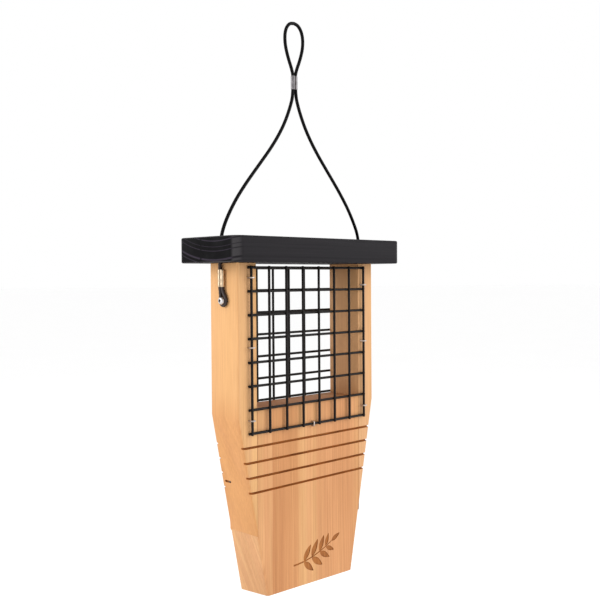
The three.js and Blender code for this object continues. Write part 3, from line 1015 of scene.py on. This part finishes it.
def screw_shank(long):
    """A plain neck, then a real helical thread that runs out at a gimlet point."""
    bm = bmesh.new()
    count = 24
    inside_head = 0.5 * MM
    threaded = long - SCREW_NECK
    steps = round(threaded / (THREAD_PITCH / 8))
    levels = [inside_head, -SCREW_NECK]
    levels += [-SCREW_NECK - threaded * i / steps for i in range(1, steps)]
    rings = []
    for z in levels:
        ring = []
        for i in range(count):
            angle = 2 * math.pi * i / count
            turns = (-z / THREAD_PITCH + i / count) % 1
            ridge = max(0.0, 1 - abs(turns - 0.5) / THREAD_HALF_WIDTH)
            point_share = min(1.0, (long + z) / SCREW_POINT)
            radius = SCREW_SHANK_RADIUS
            if z < -SCREW_NECK:
                radius = THREAD_CORE_RADIUS + (SCREW_SHANK_RADIUS - THREAD_CORE_RADIUS) * ridge
                radius *= point_share
            ring.append(bm.verts.new((
                radius * math.cos(angle), radius * math.sin(angle), z)))
        rings.append(ring)
    tip = bm.verts.new((0, 0, -long))
    for low, high in zip(rings, rings[1:]):
        for i in range(count):
            j = (i + 1) % count
            bm.faces.new((low[i], high[i], high[j], low[j]))
    for i in range(count):
        bm.faces.new((rings[-1][i], tip, rings[-1][(i + 1) % count]))
    bm.faces.new(rings[0])
    return from_bmesh("screw_shank", bm)


def add_screw(node, side):
    low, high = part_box(node)
    middle = (low + high) / 2
    head_low = (abs(high.x) if side > 0 else abs(low.x)) - SCREW_HEAD_HEIGHT
    screw = screw_head()
    combine(screw, screw_shank(high.x - low.x - SCREW_HEAD_HEIGHT), "UNION")
    outward = Matrix.Rotation(side * math.pi / 2, 4, "Y")
    screw.data.transform(Matrix.Translation((side * head_low, middle.y, middle.z)) @ outward)
    screw.name = node + "_turned"
    paint(screw, "zinc", "shade_and_grime_metal")
    smooth(screw)
    stand_in(screw, "feeder", node)


def add_nail(node, side):
    """A brad with a barrel head and a tapered point."""
    low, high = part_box(node)
    middle = (low + high) / 2
    long = high.x - low.x
    head, shaft = 1.25 * MM, 0.8 * MM
    profile = [(0, -long), (0.35 * shaft, 0.8 * MM - long), (shaft, 2.4 * MM - long),
               (shaft, -1.6 * MM), (1.05 * shaft, -1.3 * MM), (head, -0.9 * MM),
               (head, -0.15 * MM), (0.85 * head, 0), (0, 0)]
    nail = lathe(node + "_driven", profile, 20, [MATERIALS["nail_steel"]])
    outward = Matrix.Rotation(side * math.pi / 2, 4, "Y")
    outer = max(abs(low.x), abs(high.x))
    nail.data.transform(Matrix.Translation((side * outer, middle.y, middle.z)) @ outward)
    smooth(nail)
    stand_in(nail, "feeder", node)


def add_fasteners():
    for node in sorted(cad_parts):
        if "_staple_" in node:
            add_staple(node)
    for name, side in (("left", -1), ("right", 1)):
        add_screw(name + "_cable_screw", side)
        add_nail(name + "_brad_nail", side)


# ---------------------------------------------------------------- cable and sleeves


def raised(route):
    """A route in the row frame, from heights above the roof's underside."""
    return [Vector((x, y, ROOF_Z + z)) for x, y, z in route]


def flip(points):
    """The same route on the left hand side."""
    return [Vector((-p.x, p.y, p.z)) for p in points]


def tube(name, path, coating):
    def section_at(i):
        return circle(CABLE_RADIUS, 14)

    piece = sweep(name, path, section_at, [MATERIALS[coating]], Vector((0, 1, 0.01)))
    smooth(piece, 50)
    return piece


def describe_cord(route):
    tuple(route[0])
    length_of(route)
    [tuple(p) for p in route]


def add_hanging_cable(sleeve):
    """One length: out of the left hole, up through the top sleeve, round the loop and back."""
    above = [p for p in curve_through(raised(LEG_ROUTE), 0.6 * MM) if p.z > ROOF_Z + HOLE_MIDDLE]
    half = curve_through([*above[::12], *raised(TOP_LOOP_HALF)], 1.3 * MM)
    route = flip(half)[:-1] + half[::-1]
    cable = tube("hanging_cable", route, "cable_coating")
    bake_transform(cable)
    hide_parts("cable_left_leg", "cable_right_leg", "cable_hanging_loop")
    describe_cord(route)


def add_cable_end(name, side, sleeve):
    """The end of the cable: from the roof's hole through the sleeve and round the screw."""
    leg = raised(LEG_ROUTE[:4])
    leg[-1] = leg[-1].lerp(leg[-2], 0.3)  # short of where the hanging cable starts
    cut_end = leg[0] - Vector((0, 2 * leg[0].y, 3 * MM))  # doubled back beside the leg
    points = [*reversed(leg), *raised(SCREW_LOOP), cut_end]
    route = curve_through(points, 0.7 * MM)
    if side < 0:
        route = flip(route)
    # The cable ends get the lighter coating: a painted highlight.
    cable = tube(name + "_cable_end", route, "highlit_cable_coating")
    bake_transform(cable)
    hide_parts(f"cable_{name}_screw_loop")
    describe_cord(route)


def sleeve_outline(radius, centre):
    """A sleeve's outline round two strands that lie side by side along the first axis: two
    lobes, with a narrow groove pressed between them. Returns the points, and which of them
    start a side of the groove."""
    half_groove, groove_depth = 0.36 * MM, 0.55 * MM
    edge = math.acos((centre - half_groove) / radius)
    cusp = radius * math.sin(edge)
    points, grooved = [], []
    count = 12
    for side in (1, -1):
        for i in range(count):
            angle = (math.pi - edge) * (2 * i / (count - 1) - 1)
            points.append((
                side * (centre + radius * math.cos(angle)),
                side * radius * math.sin(angle),
            ))
        grooved += [len(points) - 1, len(points)]
        points.append((0, side * (cusp - groove_depth)))
    return points, grooved


SLEEVE_RIM = 0.05                    # shares of a sleeve's length
SLEEVE_BAND_PLACE = 0.31
SLEEVE_BAND_HALF = 0.1
SLEEVE_RIM_LOSS = 0.09               # shares of its width and thickness
SLEEVE_BAND_LOSS = 0.07


def add_sleeve(node, along_y):
    """A crimped aluminium sleeve, pressed in two bands across its length."""
    low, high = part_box(node)
    middle = (low + high) / 2
    long = high.z - low.z
    size = (high.y - low.y, high.x - low.x) if along_y else (high.x - low.x, high.y - low.y)
    radius = size[1] / 2
    outline, grooved = sleeve_outline(radius, size[0] / 2 - radius)
    shares = [0, 0.015, 0.05, 0.12, 0.16, 0.2, 0.25, 0.38, 0.42, 0.46, 0.5]
    shares += [1 - s for s in reversed(shares[:-1])]

    def squeeze(share):
        """How wide and how thick the sleeve is left at a share of its length."""
        near_end = min(share, 1 - share)
        rounded = 1 - SLEEVE_RIM_LOSS * max(0.0, 1 - near_end / SLEEVE_RIM) ** 2
        band = math.exp(-((near_end - SLEEVE_BAND_PLACE) / SLEEVE_BAND_HALF) ** 4)
        return rounded, rounded - SLEEVE_BAND_LOSS * band

    path = [Vector((middle.x, middle.y, low.z + long * s)) for s in shares]
    first = Vector((0, 1, 0)) if along_y else Vector((1, 0, 0))

    def section_at(i):
        wide, thick = squeeze(shares[i])
        return [(a * wide, b * thick) for a, b in outline]

    # The side sleeves take the lighter, warmer copy: painted light and reflection.
    metal_name = "warm_lit_aluminium" if along_y else "aluminium"
    # The groove's faces get the dark metal: painted shade.
    materials = [MATERIALS[metal_name], MATERIALS["shade_and_grime_metal"]]
    sleeve = sweep(node + "_crimped", path, section_at, materials, first, grooved)
    smooth(sleeve, 40)
    stand_in(sleeve, "feeder", node)
    return sleeve


def add_cables():
    add_hanging_cable(add_sleeve("top_cable_sleeve", False))
    for name, side in (("left", -1), ("right", 1)):
        add_cable_end(name, side, add_sleeve(name + "_cable_sleeve", True))


# ---------------------------------------------------------------- floor and light


FLOOR_RADIUS = 40
FLOOR_DROP = 0.14                    # below the feeder's lowest point
LIGHTS_AIM_AT = Vector((0, 0, -0.33))


def add_floor():
    """A wide pale floor, well below the hanging feeder."""
    bm = bmesh.new()
    bmesh.ops.create_circle(bm, cap_ends=True, segments=64, radius=FLOOR_RADIUS)
    floor = from_bmesh("floor", bm)
    floor.location.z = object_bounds()[0].z - FLOOR_DROP
    shader = Shader("pale_floor")
    cloud = shader.noise(shader.place(), 3.0, 2.0)
    shader.set(
        Base_Color=shader.mix(cloud, (0.98, 0.98, 0.98, 1), (0.995, 0.995, 0.995, 1)),
        Roughness=0.9,
    )
    floor.data.materials.append(shader.material)
    floor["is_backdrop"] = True


def add_softbox(name, place, size, power):
    light = bpy.data.lights.new(name, "AREA")
    light.shape = "RECTANGLE"
    light.size = size[0]
    light.size_y = size[1]
    light.energy = power
    softbox = bpy.data.objects.new(name, light)
    bpy.context.scene.collection.objects.link(softbox)
    softbox.location = place
    softbox.rotation_mode = "QUATERNION"
    softbox.rotation_quaternion = (LIGHTS_AIM_AT - Vector(place)).to_track_quat("-Z", "Y")


def add_light():
    world = bpy.data.worlds.new("studio")
    bpy.context.scene.world = world
    world.use_nodes = True
    backdrop = world.node_tree.nodes["Background"]
    backdrop.inputs["Color"].default_value = (1, 1, 1, 1)
    backdrop.inputs["Strength"].default_value = 1.0
    add_softbox("left_softbox", (-1.25, 0.55, 0.15), (0.5, 0.8), 9)
    add_softbox("right_softbox", (0.95, -1.1, 0.15), (0.4, 0.8), 8)


# ---------------------------------------------------------------- the scene

add_camera()
add_cables()
add_wooden_body()
add_roof()
add_grids()
add_fasteners()
add_floor()
add_light()
bpy.context.scene.view_settings.view_transform = "Standard"

boxes = {"cad": cad_box, "visual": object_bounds()}
{name: [list(corner) for corner in box] for name, box in boxes.items()}
